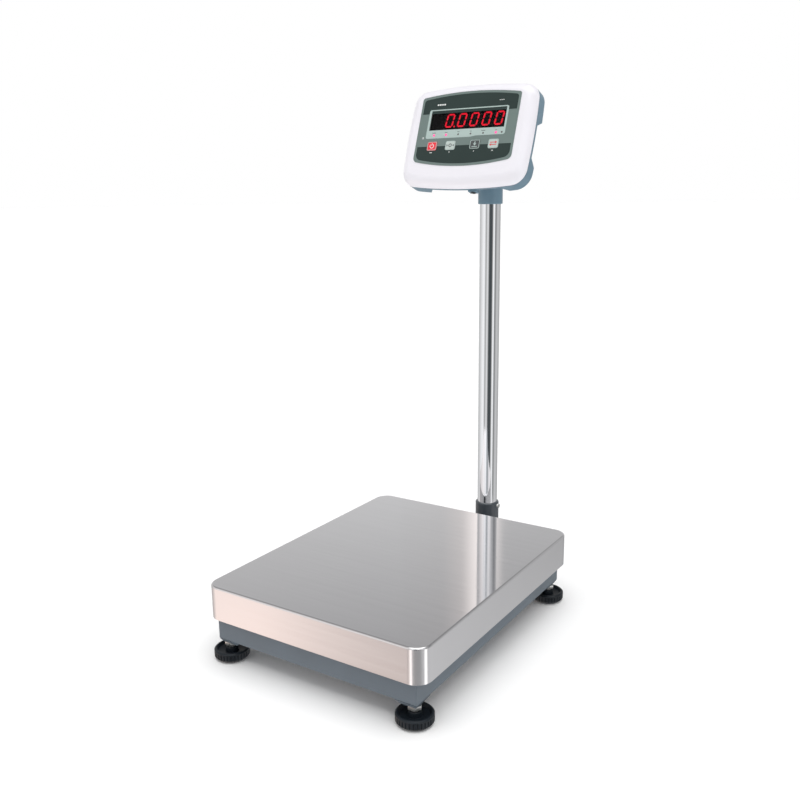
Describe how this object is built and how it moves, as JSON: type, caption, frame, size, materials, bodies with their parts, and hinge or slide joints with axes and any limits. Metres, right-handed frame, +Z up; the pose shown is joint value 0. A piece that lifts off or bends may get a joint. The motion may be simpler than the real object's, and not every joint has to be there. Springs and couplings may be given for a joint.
{
  "type": "bench scale",
  "caption": "Bench scale with a steel platter on a levelling base frame and a tilting red-digit display head on a rear column.",
  "frame": {"origin": "middle of the overall footprint, on the floor", "axes": "+Z up, +Y towards the column, +X to the right of a person facing the display"},
  "size_m": [0.4, 0.614, 0.8978],
  "materials": {
    "platter_steel": "brushed",
    "frame_paint": "satin",
    "zinc": "zinc plated",
    "tube_chrome": "polished",
    "socket_paint": "satin",
    "foot_black": "moulded",
    "pad_rubber": "moulded",
    "cell_aluminium": "machined",
    "spacer_steel": "ground",
    "level_body": "moulded",
    "level_vial": "clear",
    "collar_plastic": "moulded",
    "yoke_paint": "satin",
    "pin_steel": "turned",
    "arm_aluminium": "painted casting",
    "cover_white": "fine grain",
    "housing_grey": "fine grain",
    "seal_rubber": "moulded",
    "overlay_film": "printed film",
    "window_smoked": "polished",
    "module_black": "moulded",
    "digit_red": "lit",
    "lamp_red": "lit",
    "board_green": "solder resist",
    "switch_black": "moulded",
    "battery_wrap": "film wrap",
    "connector_nickel": "nickel plated",
    "jack_black": "moulded",
    "key_red": "satin",
    "key_grey": "satin",
    "key_black": "satin",
    "key_light": "satin"
  },
  "bodies": {
    "base": {"base_rail_front": "frame_paint", "base_rail_rear": "frame_paint", "base_rail_left": "frame_paint", "base_rail_right": "frame_paint", "base_cross_beam": "frame_paint", "corner_plates": "frame_paint", "foot_locknuts": "zinc", "overload_stops": "zinc", "overload_nuts": "zinc", "load_cell": "cell_aluminium", "cell_spacer_lower": "spacer_steel", "cell_spacer_upper": "spacer_steel", "cell_bolts_lower": "zinc", "cell_bolts_upper": "zinc", "spider_arm_left": "frame_paint", "spider_arm_right": "frame_paint", "spider_cross_beam": "frame_paint", "platter_pads": "pad_rubber", "column_bracket": "frame_paint", "bracket_bolts": "zinc", "column_socket": "socket_paint", "clamp_screw": "zinc", "column_tube": "tube_chrome", "bubble_level_housing": "level_body", "bubble_level_vial": "level_vial"},
    "platter": {"platter": "platter_steel", "platter_ribs": "platter_steel"},
    "swivel": {"column_collar": "collar_plastic", "collar_screw": "zinc", "tilt_yoke": "yoke_paint", "tilt_pin": "pin_steel"},
    "head": {"head_arm": "arm_aluminium", "arm_bolts": "zinc", "front_cover": "cover_white", "housing_gasket": "seal_rubber", "rear_housing": "housing_grey", "housing_screws": "zinc", "cell_connector": "connector_nickel", "charge_jack": "jack_black", "overlay": "overlay_film", "display_window": "window_smoked", "display_modules": "module_black", "display_digits": "digit_red", "lamps": "lamp_red", "key_switches": "switch_black", "front_board": "board_green", "main_board": "board_green", "battery": "battery_wrap"},
    "foot_stud_front_left": {"foot_stud_front_left": "zinc"},
    "foot_wheel_front_left": {"foot_wheel_front_left": "foot_black"},
    "foot_stud_front_right": {"foot_stud_front_right": "zinc"},
    "foot_wheel_front_right": {"foot_wheel_front_right": "foot_black"},
    "foot_stud_rear_left": {"foot_stud_rear_left": "zinc"},
    "foot_wheel_rear_left": {"foot_wheel_rear_left": "foot_black"},
    "foot_stud_rear_right": {"foot_stud_rear_right": "zinc"},
    "foot_wheel_rear_right": {"foot_wheel_rear_right": "foot_black"},
    "key_power": {"key_power": "key_red"},
    "key_zero": {"key_zero": "key_grey"},
    "key_tare": {"key_tare": "key_black"},
    "key_mode": {"key_mode": "key_light"}
  },
  "joints": [
    {"name": "platter_lift", "type": "slide", "parent": "base", "child": "platter", "axis": [0, 0, 1], "range_m": [0, 0.08]},
    {"name": "foot_front_left_screw", "type": "slide", "parent": "base", "child": "foot_stud_front_left", "axis": [0, 0, -1], "range_m": [-0.0025, 0.01]},
    {"name": "foot_front_left_turn", "type": "hinge", "parent": "foot_stud_front_left", "child": "foot_wheel_front_left", "pos_m": [-0.172, -0.279, 0], "axis": [0, 0, -1], "range_deg": [-510, 2050]},
    {"name": "foot_front_right_screw", "type": "slide", "parent": "base", "child": "foot_stud_front_right", "axis": [0, 0, -1], "range_m": [-0.0025, 0.01]},
    {"name": "foot_front_right_turn", "type": "hinge", "parent": "foot_stud_front_right", "child": "foot_wheel_front_right", "pos_m": [0.172, -0.279, 0], "axis": [0, 0, -1], "range_deg": [-510, 2050]},
    {"name": "foot_rear_left_screw", "type": "slide", "parent": "base", "child": "foot_stud_rear_left", "axis": [0, 0, -1], "range_m": [-0.0025, 0.01]},
    {"name": "foot_rear_left_turn", "type": "hinge", "parent": "foot_stud_rear_left", "child": "foot_wheel_rear_left", "pos_m": [-0.172, 0.173, 0], "axis": [0, 0, -1], "range_deg": [-510, 2050]},
    {"name": "foot_rear_right_screw", "type": "slide", "parent": "base", "child": "foot_stud_rear_right", "axis": [0, 0, -1], "range_m": [-0.0025, 0.01]},
    {"name": "foot_rear_right_turn", "type": "hinge", "parent": "foot_stud_rear_right", "child": "foot_wheel_rear_right", "pos_m": [0.172, 0.173, 0], "axis": [0, 0, -1], "range_deg": [-510, 2050]},
    {"name": "head_swivel", "type": "hinge", "parent": "base", "child": "swivel", "pos_m": [0, 0.267, 0.766], "axis": [0, 0, 1], "range_deg": [-150, 150]},
    {"name": "head_tilt", "type": "hinge", "parent": "swivel", "child": "head", "pos_m": [0, 0.267, 0.766], "axis": [-1, 0, 0], "range_deg": [-20, 28]},
    {"name": "key_power_press", "type": "slide", "parent": "head", "child": "key_power", "axis": [0, 0.9397, -0.342], "range_m": [0, 0.0004], "stiffness_N_per_m": 3500},
    {"name": "key_zero_press", "type": "slide", "parent": "head", "child": "key_zero", "axis": [0, 0.9397, -0.342], "range_m": [0, 0.0004], "stiffness_N_per_m": 3500},
    {"name": "key_tare_press", "type": "slide", "parent": "head", "child": "key_tare", "axis": [0, 0.9397, -0.342], "range_m": [0, 0.0004], "stiffness_N_per_m": 3500},
    {"name": "key_mode_press", "type": "slide", "parent": "head", "child": "key_mode", "axis": [0, 0.9397, -0.342], "range_m": [0, 0.0004], "stiffness_N_per_m": 3500}
  ],
  "couplings": [
    {"joint": "foot_front_left_screw", "follows": "foot_front_left_turn", "m_per_rad": 0.00027852},
    {"joint": "foot_front_right_screw", "follows": "foot_front_right_turn", "m_per_rad": 0.00027852},
    {"joint": "foot_rear_left_screw", "follows": "foot_rear_left_turn", "m_per_rad": 0.00027852},
    {"joint": "foot_rear_right_screw", "follows": "foot_rear_right_turn", "m_per_rad": 0.00027852}
  ]
}
